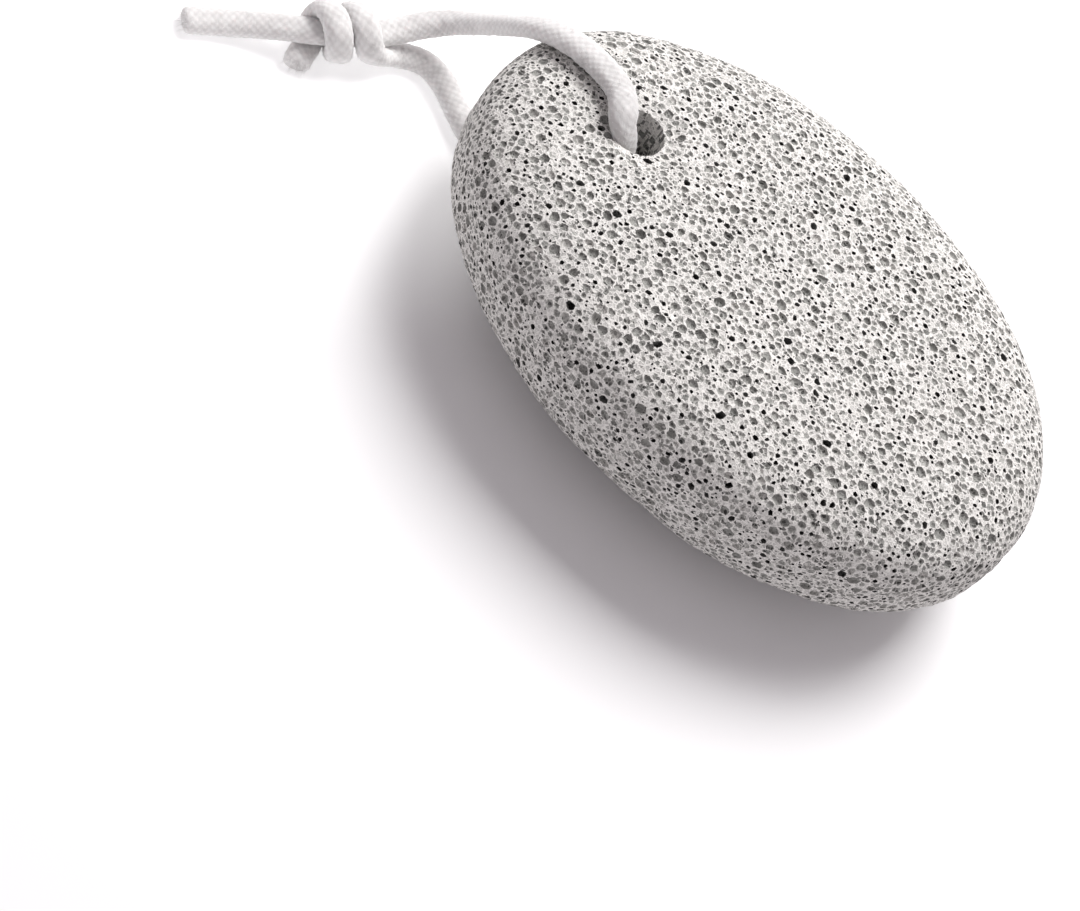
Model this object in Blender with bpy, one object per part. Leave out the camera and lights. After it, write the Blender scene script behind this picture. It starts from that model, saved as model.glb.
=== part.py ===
"""A pumice foot stone with a braided cord tied through its hole.

Units are metres, +Z is up. The stone lies on its base: the origin is the bottom centre of the
stone, X runs along it with the hole at the -X end, and Y runs across it.
"""

import math
import random

import bmesh
import bpy
from mathutils import Vector
from mathutils.kdtree import KDTree
from mathutils.noise import noise

# The stone. Its outline is a rounded oval: each half is a superellipsoid with its own power.
LENGTH = 0.100
WIDTH = 0.0674
FULL_THICKNESS = 0.0307
WORN_FLAT = 0.0005  # depth worn off the base, which leaves the flat it rests on
PLAN_POWER = 2.06
TOP_POWER = 3.9
BASE_POWER = 2.2
EGG = 0.014  # the end away from the hole is this much wider
RIPPLE = 0.00035  # height of the broad unevenness of the surface
RIPPLE_SCALE = 0.016
HALF = Vector((LENGTH / 2, WIDTH / 2, FULL_THICKNESS / 2))
CENTRE_HEIGHT = HALF.z - WORN_FLAT

# The hole and the shallow worn dishes at its mouths.
HOLE_X = -0.0286
HOLE_RADIUS = 0.0040
UPPER_DISH_RIM = 0.0058
UPPER_DISH_DEPTH = 0.0009
LOWER_DISH_RIM = 0.0095
LOWER_DISH_DEPTH = 0.0030
BASE_AT_HOLE = 0.0017  # height of the base there, above what the stone rests on
BASE_SLOPE = 0.19  # and its slope along X

# The pores that show from a step away, as pits.
SMALLEST_PIT = 0.0009  # radius of its rim
LARGEST_PIT = 0.0022
PIT_DEPTH = 0.9  # as a share of its rim's radius
ROOM_SHARE = 0.37  # a rim's radius, at most, as a share of the way to the next pit
PIT_SPACING = 0.0042  # between the middles of two pits, at least
CANDIDATE_SUBDIVISIONS = 6
DOME = 0.006
FIRST_CUT = 0.0003  # how far the corners are cut off before the rims are shaped
RIM_UNEVENNESS = 0.22  # spread of a rim's corners, as a share of its radius
CLEAR_OF_UPPER_MOUTH = 0.0075
CLEAR_OF_LOWER_MOUTH = 0.0100
CLEAR_OF_REST_POINT = 0.0050
SEED = 7

# The cord.
CORD_DIAMETER = 0.0034
CORD_STEP = 0.0028  # spacing of the tube's points
TUBE_RESOLUTION = 2
UPPER_ROUTE = (
    (-0.0280, 0.0006, 0.0150),
    (-0.0278, 0.0006, 0.0190),
    (-0.0279, 0.0004, 0.0228),
    (-0.0284, -0.0003, 0.0262),
    (-0.0295, -0.0010, 0.0290),
    (-0.0312, -0.0012, 0.0311),
    (-0.0336, -0.0003, 0.0320),
    (-0.0366, 0.0010, 0.0316),
    (-0.0402, 0.0021, 0.0308),
    (-0.0440, 0.0030, 0.0295),
    (-0.0475, 0.0037, 0.0275),
    (-0.0503, 0.0045, 0.0248),
    (-0.0528, 0.0056, 0.0214),
    (-0.0554, 0.0068, 0.0176),
    (-0.0581, 0.0078, 0.0138),
    (-0.0608, 0.0082, 0.0105),
    (-0.0634, 0.0077, 0.0080),
    (-0.0656, 0.0058, 0.0065),
    (-0.0672, 0.0030, 0.0058),
)
# The knot: the upper strand runs straight along its axis, and the lower one is wound round it.
KNOT_START = Vector((-0.0692, -0.0007, 0.0056))
KNOT_HEADING = Vector((-0.617, -0.787, 0.0))
KNOT_LENGTH = 0.0086
KNOT_TURN = 690  # degrees
KNOT_FIRST_ANGLE = 240  # degrees from the side away from the stone's middle, through the top
KNOT_LEAD = 0.0035  # the first turn starts this far before the knot, and eases into it
KNOT_LEAD_TURN = 100  # degrees
WRAP_RADIUS = CORD_DIAMETER + 0.0003
WRAP_POINTS_PER_TURN = 12
UPPER_TAIL = (
    (-0.0776, -0.0100, 0.0048),
    (-0.0802, -0.0122, 0.0036),
    (-0.0829, -0.0145, 0.0025),
    (-0.0855, -0.0170, 0.0019),
    (-0.0880, -0.0199, 0.0018),
    (-0.0892, -0.0215, 0.0018),
)
LOWER_ROUTE = (
    (-0.0280, 0.0006, 0.0147),
    (-0.0277, 0.0005, 0.0115),
    (-0.0278, 0.0004, 0.0086),
    (-0.0287, 0.0002, 0.0058),
    (-0.0306, 0.0000, 0.0035),
    (-0.0334, 0.0000, 0.0020),
    (-0.0368, 0.0000, 0.00173),
    (-0.0405, 0.0000, 0.00173),
    (-0.0445, -0.0002, 0.00173),
    (-0.0485, 0.0003, 0.00173),
    (-0.0516, 0.0012, 0.00173),
    (-0.0546, 0.0026, 0.00173),
    (-0.0575, 0.0038, 0.00173),
    (-0.0602, 0.0044, 0.00173),
    (-0.0627, 0.0042, 0.00173),
    (-0.0648, 0.0029, 0.0018),
)
LOWER_STUB = (
    (-0.0737, -0.0103, 0.0018),
    (-0.0730, -0.0120, 0.0018),
)

# Colours (linear) and finish.
STONE_COLOUR = (0.52, 0.51, 0.50, 1.0)
STONE_ROUGHNESS = 0.95
CORD_COLOUR = (0.82, 0.81, 0.80, 1.0)
CORD_ROUGHNESS = 0.85


def clear_scene():
    for existing in list(bpy.data.objects):
        bpy.data.objects.remove(existing, do_unlink=True)


def new_collection(name):
    collection = bpy.data.collections.new(name)
    bpy.context.scene.collection.children.link(collection)
    return collection


def move_to(item, collection):
    for old in list(item.users_collection):
        old.objects.unlink(item)
    collection.objects.link(item)


def plain_material(name, colour, roughness):
    material = bpy.data.materials.new(name)
    material.use_nodes = True
    shader = material.node_tree.nodes["Principled BSDF"]
    shader.inputs["Base Color"].default_value = colour
    shader.inputs["Roughness"].default_value = roughness
    shader.inputs["Metallic"].default_value = 0.0
    material.diffuse_color = colour
    return material


def even_skin(place):
    """The point of the even oval that lies in the same direction from its middle as place."""
    x = place.x / HALF.x
    y = place.y / HALF.y
    z = (place.z - CENTRE_HEIGHT) / HALF.z
    power = TOP_POWER if z > 0 else BASE_POWER
    plan = (abs(x) ** PLAN_POWER + abs(y) ** PLAN_POWER) ** (power / PLAN_POWER)
    reach = (plan + abs(z) ** power) ** (-1 / power)
    point = Vector((x * HALF.x, y * HALF.y * (1 + EGG * x * reach), z * HALF.z)) * reach
    point.z += CENTRE_HEIGHT
    return point


def on_stone(place):
    """The point of the stone's own skin there, with its unevenness and its worn base."""
    point = even_skin(place)
    middle = Vector((0, 0, CENTRE_HEIGHT))
    out = point - middle
    outward = Vector((out.x / HALF.x**2, out.y / HALF.y**2, out.z / HALF.z**2)).normalized()
    point += outward * RIPPLE * noise(out / RIPPLE_SCALE)
    point.z = max(point.z, 0.0)
    return point


def scattered_points(dice):
    """Points all over the stone in no order, none nearer to another than PIT_SPACING."""
    bm = bmesh.new()
    bmesh.ops.create_icosphere(bm, subdivisions=CANDIDATE_SUBDIVISIONS, radius=HALF.z)
    stretch = Vector((HALF.x / HALF.z, HALF.y / HALF.z, 1))
    candidates = [even_skin(vert.co * stretch + Vector((0, 0, CENTRE_HEIGHT))) for vert in bm.verts]
    bm.free()
    tree = KDTree(len(candidates))
    for number, point in enumerate(candidates):
        tree.insert(point, number)
    tree.balance()
    order = list(range(len(candidates)))
    dice.shuffle(order)
    kept = []
    blocked = set()
    for number in order:
        if number not in blocked:
            kept.append(candidates[number])
            near = tree.find_range(candidates[number], PIT_SPACING)
            blocked.update(found[1] for found in near)
    return kept


def stone_skin(dice):
    """The stone's skin as a mesh between scattered points, with no pits yet.

    The faces are those of the points' convex hull, with the flat sides domed so that every
    point is on it.
    """
    bm = bmesh.new()
    places = {}
    for point in scattered_points(dice):
        flatness = 1 - (point.x / HALF.x) ** 2 - (point.y / HALF.y) ** 2
        side = 1 if point.z > CENTRE_HEIGHT else -1
        places[bm.verts.new(point + Vector((0, 0, side * DOME * flatness)))] = point
    bmesh.ops.convex_hull(bm, input=bm.verts[:])
    bmesh.ops.delete(bm, geom=[vert for vert in bm.verts if not vert.link_faces], context="VERTS")
    for vert in bm.verts:
        vert.co = on_stone(places[vert])
    bmesh.ops.recalc_face_normals(bm, faces=bm.faces[:])
    return bm


def may_have_pit(point):
    """Pits stay off the hole's mouths and off the middle of the base."""
    from_hole = math.hypot(point.x - HOLE_X, point.y)
    if point.z > CENTRE_HEIGHT:
        return from_hole > CLEAR_OF_UPPER_MOUTH
    on_base = point.z < CENTRE_HEIGHT / 2
    if on_base and from_hole < CLEAR_OF_LOWER_MOUTH:
        return False
    return math.hypot(point.x, point.y) > CLEAR_OF_REST_POINT or not on_base


def cut_pits(bm, dice):
    """Every chosen vertex becomes a pit: its corner is cut off and the cut is pushed in."""
    spots = KDTree(len(bm.verts))
    for number, vert in enumerate(bm.verts):
        spots.insert(vert.co, number)
    spots.balance()
    chosen = [vert for vert in bm.verts if may_have_pit(vert.co)]
    cut = bmesh.ops.bevel(
        bm, geom=chosen, offset=FIRST_CUT, offset_type="OFFSET", segments=1,
        affect="VERTICES", clamp_overlap=False,
    )
    mouths = [face for face in cut["faces"] if len(face.verts) > 3]
    for mouth in mouths:
        middle = mouth.calc_center_median()
        room = spots.find_n(middle, 2)[1][2]
        skewed = dice.random() ** 2
        radius = SMALLEST_PIT + (LARGEST_PIT - SMALLEST_PIT) * skewed
        radius = min(radius, ROOM_SHARE * room)
        for vert in mouth.verts:
            reach = radius * (1 + dice.uniform(-RIM_UNEVENNESS, RIM_UNEVENNESS))
            vert.co = on_stone(middle + (vert.co - middle).normalized() * reach)
    for bottom in bmesh.ops.poke(bm, faces=mouths)["verts"]:
        rim = [edge.other_vert(bottom).co for edge in bottom.link_edges]
        radius = sum((place - bottom.co).length for place in rim) / len(rim)
        inward = Vector()
        for face in bottom.link_faces:
            face.normal_update()
            inward -= face.normal
        bottom.co += inward.normalized() * radius * PIT_DEPTH
    bmesh.ops.triangulate(bm, faces=bm.faces[:])
    bmesh.ops.recalc_face_normals(bm, faces=bm.faces[:])


def cutter(name, collection):
    """The object that was just added, set up as a hidden cutting tool."""
    item = bpy.context.object
    item.name = name
    item.hide_render = True
    item.display_type = "WIRE"
    move_to(item, collection)
    return item


def dish_radius(rim, depth):
    """The radius of the ball that leaves a dish of that rim and depth."""
    return (rim * rim + depth * depth) / (2 * depth)


def hole_cutters(collection):
    """A drill for the hole and a ball for the dish at each of its mouths."""
    bpy.ops.mesh.primitive_cylinder_add(
        vertices=24, radius=HOLE_RADIUS, depth=2 * FULL_THICKNESS,
        location=(HOLE_X, 0, CENTRE_HEIGHT),
    )
    drill = cutter("hole_cutter", collection)
    ball = dish_radius(UPPER_DISH_RIM, UPPER_DISH_DEPTH)
    top = on_stone(Vector((HOLE_X, 0, 1.9 * CENTRE_HEIGHT))).z
    bpy.ops.mesh.primitive_uv_sphere_add(
        segments=24, ring_count=36, radius=ball,
        location=(HOLE_X, 0, top + ball - UPPER_DISH_DEPTH),
    )
    upper = cutter("upper_dish_cutter", collection)
    ball = dish_radius(LOWER_DISH_RIM, LOWER_DISH_DEPTH)
    down = Vector((-BASE_SLOPE, 0, -1)).normalized()
    below = Vector((HOLE_X, 0, BASE_AT_HOLE)) + down * (ball - LOWER_DISH_DEPTH)
    bpy.ops.mesh.primitive_uv_sphere_add(segments=24, ring_count=24, radius=ball, location=below)
    lower = cutter("lower_dish_cutter", collection)
    return drill, upper, lower


def build_stone(parts, tools, material):
    dice = random.Random(SEED)
    bm = stone_skin(dice)
    cut_pits(bm, dice)
    mesh = bpy.data.meshes.new("stone")
    bm.to_mesh(mesh)
    bm.free()
    mesh.materials.append(material)
    stone = bpy.data.objects.new("stone", mesh)
    parts.objects.link(stone)
    for tool in hole_cutters(tools):
        cut = stone.modifiers.new(tool.name, "BOOLEAN")
        cut.operation = "DIFFERENCE"
        cut.solver = "EXACT"
        cut.object = tool
    return stone


def knot_wraps():
    """The turns of the lower strand round the upper one."""
    away = Vector((KNOT_HEADING.y, -KNOT_HEADING.x, 0))
    count = round(KNOT_TURN / 360 * WRAP_POINTS_PER_TURN)
    points = []
    for number in range(count + 1):
        share = number / count
        angle = math.radians(KNOT_FIRST_ANGLE - KNOT_TURN * share)
        side = away * math.cos(angle) + Vector((0, 0, math.sin(angle)))
        lead = KNOT_LEAD * max(0, 1 - KNOT_TURN * share / KNOT_LEAD_TURN) ** 2
        along = KNOT_LENGTH * share - lead
        points.append(KNOT_START + KNOT_HEADING * along + side * WRAP_RADIUS)
    return points


def upper_route():
    through = [KNOT_START + KNOT_HEADING * KNOT_LENGTH * share for share in (0, 0.33, 0.67, 1)]
    return [Vector(p) for p in UPPER_ROUTE] + through + [Vector(p) for p in UPPER_TAIL]


def lower_route():
    return [Vector(p) for p in LOWER_ROUTE] + knot_wraps() + [Vector(p) for p in LOWER_STUB]


def between(before, start, end, after, share):
    """A point of the smooth curve that passes through start and end."""
    bend = 2 * before - 5 * start + 4 * end - after
    swing = 3 * start - before - 3 * end + after
    return start + 0.5 * (share * (end - before) + share**2 * bend + share**3 * swing)


def smooth_line(route, step):
    """Points a step apart along the smooth curve through a route."""
    ends = [2 * route[0] - route[1]] + route + [2 * route[-1] - route[-2]]
    fine = []
    for number in range(len(route) - 1):
        fine += [between(*ends[number:number + 4], share / 24) for share in range(24)]
    fine.append(route[-1])
    total = sum((b - a).length for a, b in zip(fine, fine[1:]))
    gap = total / max(1, round(total / step))
    line = [fine[0]]
    gone = 0.0
    for a, b in zip(fine, fine[1:]):
        piece = (b - a).length
        while gone + piece >= gap * len(line) and gap * (len(line) + 0.5) < total:
            line.append(a.lerp(b, (gap * len(line) - gone) / piece))
        gone += piece
    line.append(fine[-1])
    return line


def build_cord(name, route, parts, material):
    curve = bpy.data.curves.new(name, "CURVE")
    curve.dimensions = "3D"
    curve.bevel_depth = CORD_DIAMETER / 2
    curve.bevel_resolution = TUBE_RESOLUTION
    curve.use_fill_caps = True
    line = smooth_line(route, CORD_STEP)
    spline = curve.splines.new("POLY")
    spline.points.add(len(line) - 1)
    for point, place in zip(spline.points, line):
        point.co = (*place, 1.0)
    curve.materials.append(material)
    cord = bpy.data.objects.new(name, curve)
    parts.objects.link(cord)
    return cord


def main():
    clear_scene()
    parts = new_collection("pumice_stone")
    tools = new_collection("cutters")
    pumice = plain_material("pumice", STONE_COLOUR, STONE_ROUGHNESS)
    braid = plain_material("braid", CORD_COLOUR, CORD_ROUGHNESS)
    build_stone(parts, tools, pumice)
    build_cord("cord_upper", upper_route(), parts, braid)
    build_cord("cord_lower", lower_route(), parts, braid)


main()
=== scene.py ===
"""The pumice foot stone's looks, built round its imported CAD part. Metres, +Z up."""

import math
import random
from collections import namedtuple
from itertools import product

import bmesh
import bpy
import numpy as np
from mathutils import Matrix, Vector
from mathutils.geometry import delaunay_2d_cdt
from mathutils.kdtree import KDTree
from mathutils.noise import noise


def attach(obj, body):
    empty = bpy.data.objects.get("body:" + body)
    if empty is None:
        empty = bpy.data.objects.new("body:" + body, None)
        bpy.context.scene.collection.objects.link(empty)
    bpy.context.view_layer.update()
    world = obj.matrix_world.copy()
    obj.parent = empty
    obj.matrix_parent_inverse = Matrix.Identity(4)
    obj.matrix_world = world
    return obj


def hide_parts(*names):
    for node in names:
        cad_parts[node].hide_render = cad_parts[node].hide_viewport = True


# The stone's form, the same as the CAD part's.
LENGTH = 0.100
WIDTH = 0.0674
FULL_THICKNESS = 0.0307
WORN_FLAT = 0.0005
PLAN_POWER = 2.06
TOP_POWER = 3.9
BASE_POWER = 2.2
EGG = 0.014
RIPPLE = 0.00035
RIPPLE_SCALE = 0.016
HALF = Vector((LENGTH / 2, WIDTH / 2, FULL_THICKNESS / 2))
CENTRE_HEIGHT = HALF.z - WORN_FLAT
MIDDLE = Vector((0, 0, CENTRE_HEIGHT))

# The hole and the dishes at its mouths, the same as the CAD part's.
HOLE_X = -0.0286
HOLE_RADIUS = 0.0040
UPPER_DISH_RIM = 0.0058
UPPER_DISH_DEPTH = 0.0009
LOWER_DISH_RIM = 0.0095
LOWER_DISH_DEPTH = 0.0030
BASE_AT_HOLE = 0.0017
BASE_SLOPE = 0.19

# The hole's ragged mouths and its worn wall. Bumps are layers, each so wide and so high.
MOUTH_CORNERS = 64
MOUTH_RAGGED = 0.05
MOUTH_RAGGED_TURNS = 2.6
MOUTH_JITTER = (-0.025, 0.035)
MOUTH_REACH = HOLE_RADIUS * 1.07
MOUTH_STEPS = 4
MOUTH_START = 0.9  # of the way from the stone's middle height to its top or base
BORE_RINGS = 26
BORE_WEAR = ((0.0016, 0.00022), (0.0006, 0.00016))
# Pits in the hole's wall, painted dark as shade where the noise rises past a level.
BORE_PITS = ((0.0005, 1.0), (0.0012, 0.5))
BORE_PIT_LEVEL = 0.22
BORE_PIT_SHADE = 0.50

# The grain of the rock's skin, and how far its mean lies inside the smooth form.
GRAIN = ((0.0012, 0.00013), (0.004, 0.00010))
GRAIN_SINK = 0.00004
FACET_ANGLE = 38  # degrees: sharper edges show as edges

# A pore, and the stone's mesh while it is built: a tone goes with each triangle, with painted shade in
# the pores' hollows.
Pore = namedtuple("Pore", "place radius corners deep")
Rock = namedtuple("Rock", "verts triangles tones")

# The pores: for each size class its number, its radii and how many corners its rims have.
PORE_CLASSES = (
    (2100, 0.00042, 0.00070, 7),
    (5900, 0.00028, 0.00041, 6),
    (3600, 0.00016, 0.00026, 5),
)
BASE_PORE = Pore(Vector((0, 0, 0)), 0.0006, 28, False)  # closes the skin at the base point
WALL = 0.00014  # least thickness of rock between two rims
DEEP_SHARES = {7: 0.07, 6: 0.25, 5: 0.52}  # of the pores with that many corners
SMALLER_BIAS = 1.6  # above 1, more pores of a class are near its smallest radius
FLOW = Vector((0.99, 0.13, 0.0)).normalized()  # the way the bubbles are drawn out
FLOW_STRETCH = 1.14
SEED = 11

# Where pores may be: clear of each other, of the mouths and of the base point.
SKIN_SUBDIVISIONS = 5
THROWS_PER_PORE = 9  # most throws land on a pore that is there already
PORE_GAP = 0.0001
BOX_SIZE = 2 * PORE_CLASSES[0][2] + WALL
MOUTH_MARGIN = 0.0002
MOUTH_PORE_SHARE = 0.6
BASE_POINT_CLEAR = 0.0014
BASE_POINT_ROOM = 20000  # times a radius squared: how far off such a pore must be

# The rims: polygons, flattened where they come near their neighbours or a mouth.
NEIGHBOUR_RADII = 4.4
NEIGHBOUR_ROOM = 0.0006
MOUTH_NEAR = 0.004
DEEP_GROWTH = (0.85, 1.15)
SHALLOW_GROWTH = (1.2, 2.0)
DRAWN_OUT = 0.28
CORNER_SHIFT = 0.22
CORNER_REACH = (0.78, 1.10)
FACING = 0.05  # a wall cuts off only the corners that face it
SKIN_STEPS = 2  # enough to find the point of the skin below a spot
MAP_SCALE = 1000  # the flat map is in millimetres
MAP_MERGE = 1e-7
MAP_TINY = 1e-9

# The cells under the rims, in shares of their radius, and their tones of painted shade, from 0 for black
# to 1.
DEEP_DEPTH = (1.5, 2.4)
DEEP_SHADE = (0.08, 0.34)
SHALLOW_DEPTH = (0.45, 0.95)
SHALLOW_SHADE = (0.62, 1.0)
CELL_LEAN = 0.16
FACET_TONE = (0.82, 1.08)
LEDGE_CORNERS = 7  # cells with as many corners have a ledge
LEDGE_WIDTH = 0.76
LEDGE_DEPTH = 0.70
LEDGE_SHADE = 0.8
LEDGE_SWAY = (0.6, 1.2)
LEDGE_TONE = (0.90, 1.0)


def oval_shares(place):
    """The place in shares of the oval's half sizes, and the factor that brings it onto the oval."""
    x = place.x / HALF.x
    y = place.y / HALF.y
    z = (place.z - CENTRE_HEIGHT) / HALF.z
    power = TOP_POWER if z > 0 else BASE_POWER
    plan = (abs(x) ** PLAN_POWER + abs(y) ** PLAN_POWER) ** (power / PLAN_POWER)
    return x, y, z, (plan + abs(z) ** power) ** (-1 / power)


def even_skin(place):
    """The point of the even oval that lies in the same direction from its middle as place."""
    x, y, z, reach = oval_shares(place)
    point = Vector((x * HALF.x, y * HALF.y * (1 + EGG * x * reach), z * HALF.z)) * reach
    point.z += CENTRE_HEIGHT
    return point


def outward_at(point):
    """The way out of the even oval near point."""
    out = point - MIDDLE
    x = out.x / HALF.x
    y = out.y / HALF.y
    z = out.z / HALF.z
    power = TOP_POWER if z > 0 else BASE_POWER
    plan = abs(x) ** PLAN_POWER + abs(y) ** PLAN_POWER
    lead = plan ** (power / PLAN_POWER - 1) if plan > 0 else 0.0
    return Vector((
        lead * math.copysign(abs(x) ** (PLAN_POWER - 1), x) / HALF.x,
        lead * math.copysign(abs(y) ** (PLAN_POWER - 1), y) / HALF.y,
        math.copysign(abs(z) ** (power - 1), z) / HALF.z,
    )).normalized()


def on_stone(place):
    """The point of the stone's own skin there, with its unevenness and its worn base."""
    point = even_skin(place)
    out = point - MIDDLE
    outward = Vector((out.x / HALF.x**2, out.y / HALF.y**2, out.z / HALF.z**2)).normalized()
    point += outward * RIPPLE * noise(out / RIPPLE_SCALE)
    point.z = max(point.z, 0.0)
    return point


def dish_radius(rim, depth):
    """The radius of the ball that leaves a dish of that rim and depth."""
    return (rim * rim + depth * depth) / (2 * depth)


NEAR_TOP = 1.9 * CENTRE_HEIGHT
TOP_AT_HOLE = on_stone(Vector((HOLE_X, 0, NEAR_TOP))).z
UPPER_BALL = dish_radius(UPPER_DISH_RIM, UPPER_DISH_DEPTH)
LOWER_BALL = dish_radius(LOWER_DISH_RIM, LOWER_DISH_DEPTH)
UPPER_AXIS = Vector((0, 0, 1))
LOWER_AXIS = Vector((-BASE_SLOPE, 0, -1)).normalized()
UPPER_BALL_MIDDLE = Vector((HOLE_X, 0, TOP_AT_HOLE + UPPER_BALL - UPPER_DISH_DEPTH))
LOWER_BALL_MIDDLE = Vector((HOLE_X, 0, BASE_AT_HOLE)) + LOWER_AXIS * (LOWER_BALL - LOWER_DISH_DEPTH)
UPPER_DISH = (UPPER_BALL_MIDDLE, UPPER_BALL, UPPER_AXIS)
LOWER_DISH = (LOWER_BALL_MIDDLE, LOWER_BALL, LOWER_AXIS)


def skin(place):
    """The stone's skin there, with the dishes at the hole's mouths."""
    point = on_stone(place)
    middle, ball, axis = UPPER_DISH if point.z > CENTRE_HEIGHT else LOWER_DISH
    out = point - middle
    if out.length < ball:
        along = out.dot(axis)
        across = (out - axis * along).length
        point -= axis * (math.sqrt(ball**2 - across**2) + along)
    return point


def bumps(point, layers):
    """The height of a rough surface at point: the sum of its layers, each so wide and so high."""
    return sum(noise(point / width) * height for width, height in layers)


def grained_skin(place):
    """The stone's skin there, with the rock's grain."""
    point = skin(place)
    point += outward_at(place) * (bumps(point, GRAIN) - GRAIN_SINK)
    point.z = max(point.z, 0.0)
    return point


def random_skin_points(dice, count):
    """Points spread evenly by area over the stone's skin."""
    bm = bmesh.new()
    bmesh.ops.create_icosphere(bm, subdivisions=SKIN_SUBDIVISIONS, radius=1.0)
    for vert in bm.verts:
        vert.co = even_skin(vert.co * HALF + MIDDLE)
    corners = [[vert.co.copy() for vert in face.verts] for face in bm.faces]
    areas = [face.calc_area() for face in bm.faces]
    bm.free()
    points = []
    for a, b, c in dice.choices(corners, weights=areas, k=count):
        u = dice.random()
        v = dice.random()
        if u + v > 1:
            u, v = 1 - u, 1 - v
        points.append(even_skin(a + (b - a) * u + (c - a) * v))
    return points


def squeezed(place):
    """The place with the stretch of the bubbles along FLOW taken out, so that they are round."""
    return place - FLOW * place.dot(FLOW) * (1 - 1 / FLOW_STRETCH)


def unsqueezed(offset):
    """The offset with the stretch of the bubbles along FLOW put back."""
    return offset + FLOW * offset.dot(FLOW) * (FLOW_STRETCH - 1)


def clear_of_mouths(place, radius):
    """Whether a pore there keeps off the hole's mouths."""
    from_hole = math.hypot(place.x - HOLE_X, place.y)
    return from_hole > MOUTH_REACH + radius * MOUTH_PORE_SHARE + MOUTH_MARGIN


def too_wide_for_map(place, radius):
    """Near the base point the map bends straight rims, so only small pores fit there."""
    from_base_point = math.hypot(place.x, place.y)
    room = max(BASE_POINT_CLEAR, BASE_POINT_ROOM * radius**2)
    return place.z < CENTRE_HEIGHT and from_base_point < room


def box_of(spot):
    """The box of space that holds spot."""
    return tuple(math.floor(value / BOX_SIZE) for value in spot)


def is_free(boxes, spot, radius):
    """Whether a round pore at spot would keep clear of all the others."""
    home = box_of(spot)
    for step in product((-1, 0, 1), repeat=3):
        box = tuple(middle + off for middle, off in zip(home, step))
        for other, reach in boxes.get(box, ()):
            if (other - spot).length_squared < (reach + radius + PORE_GAP) ** 2:
                return False
    return True


def scatter_pores(dice):
    """The base pore and all the others, thrown at the stone largest first."""
    base_spot = squeezed(BASE_PORE.place)
    boxes = {box_of(base_spot): [(base_spot, BASE_PORE.radius)]}
    pores = [BASE_PORE]
    for count, smallest, largest, corners in PORE_CLASSES:
        wanted = len(pores) + count
        for place in random_skin_points(dice, count * THROWS_PER_PORE):
            radius = smallest + (largest - smallest) * dice.random() ** SMALLER_BIAS
            if not clear_of_mouths(place, radius) or too_wide_for_map(place, radius):
                continue
            spot = squeezed(place)
            if is_free(boxes, spot, radius):
                boxes.setdefault(box_of(spot), []).append((spot, radius))
                pores.append(Pore(place, radius, corners, dice.random() < DEEP_SHARES[corners]))
                if len(pores) == wanted:
                    break
    return pores


def squeezed_axes(normal):
    """Two directions along the squeezed tangent plane, at right angles to each other."""
    side = normal.orthogonal().normalized()
    up = squeezed(normal.cross(side))
    side = squeezed(side).normalized()
    return side, (up - side * up.dot(side)).normalized()


def straight_below(spot, normal):
    """The place whose point of the skin lies straight in from spot along normal."""
    place = spot.copy()
    for _ in range(SKIN_STEPS):
        off = spot - even_skin(place)
        place += off - normal * off.dot(normal)
    return place


def walls_round(pores, spots, tree, number, side, up):
    """What shuts in a pore: the way to each wall on the tangent plane, and how far it is."""
    pore = pores[number]
    walls = []
    reach = NEIGHBOUR_RADII * pore.radius + NEIGHBOUR_ROOM
    for other, index, distance in tree.find_range(spots[number], reach):
        if index == number:
            continue
        share = (distance**2 + pore.radius**2 - pores[index].radius**2) / (2 * distance)
        away = (other - spots[number]) / distance
        walls.append((Vector((away.dot(side), away.dot(up))), share - WALL / 2))
    to_hole = Vector((HOLE_X - pore.place.x, -pore.place.y, 0))
    room = to_hole.length - MOUTH_REACH - WALL / 2
    if room < MOUTH_NEAR:
        away = squeezed(to_hole.normalized())
        walls.append((Vector((away.dot(side), away.dot(up))), room))
    return walls


def polygon_rim(pore, growth, walls, normal, side, up, dice):
    """A pore's rim: an uneven, drawn-out polygon that its walls cut off."""
    start = dice.uniform(0, math.tau)
    long_way = dice.uniform(0, math.tau)
    long_share = dice.uniform(0, DRAWN_OUT)
    rim = []
    for corner in range(pore.corners):
        angle = start + math.tau * (corner + dice.uniform(-CORNER_SHIFT, CORNER_SHIFT)) / pore.corners
        heading = Vector((math.cos(angle), math.sin(angle)))
        reach = pore.radius * growth * dice.uniform(*CORNER_REACH)
        reach *= 1 + long_share * math.cos(2 * (angle - long_way))
        for flat, limit in walls:
            toward = heading.dot(flat)
            if toward > FACING:
                reach = min(reach, limit / toward)
        flat_spot = pore.place + unsqueezed((side * heading.x + up * heading.y) * reach)
        rim.append(straight_below(flat_spot, normal))
    return rim


def pore_rims(pores, dice):
    """Each pore's rim: wide where the pore is alone, and flattened towards its neighbours."""
    spots = [squeezed(pore.place) for pore in pores]
    tree = KDTree(len(spots))
    for number, spot in enumerate(spots):
        tree.insert(spot, number)
    tree.balance()
    rims = []
    for number, pore in enumerate(pores):
        normal = outward_at(pore.place)
        side, up = squeezed_axes(normal)
        walls = walls_round(pores, spots, tree, number, side, up)
        growth = dice.uniform(*(DEEP_GROWTH if pore.deep else SHALLOW_GROWTH))
        if pore is BASE_PORE:
            growth = 1.0
        rims.append(polygon_rim(pore, growth, walls, normal, side, up, dice))
    return rims


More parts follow.
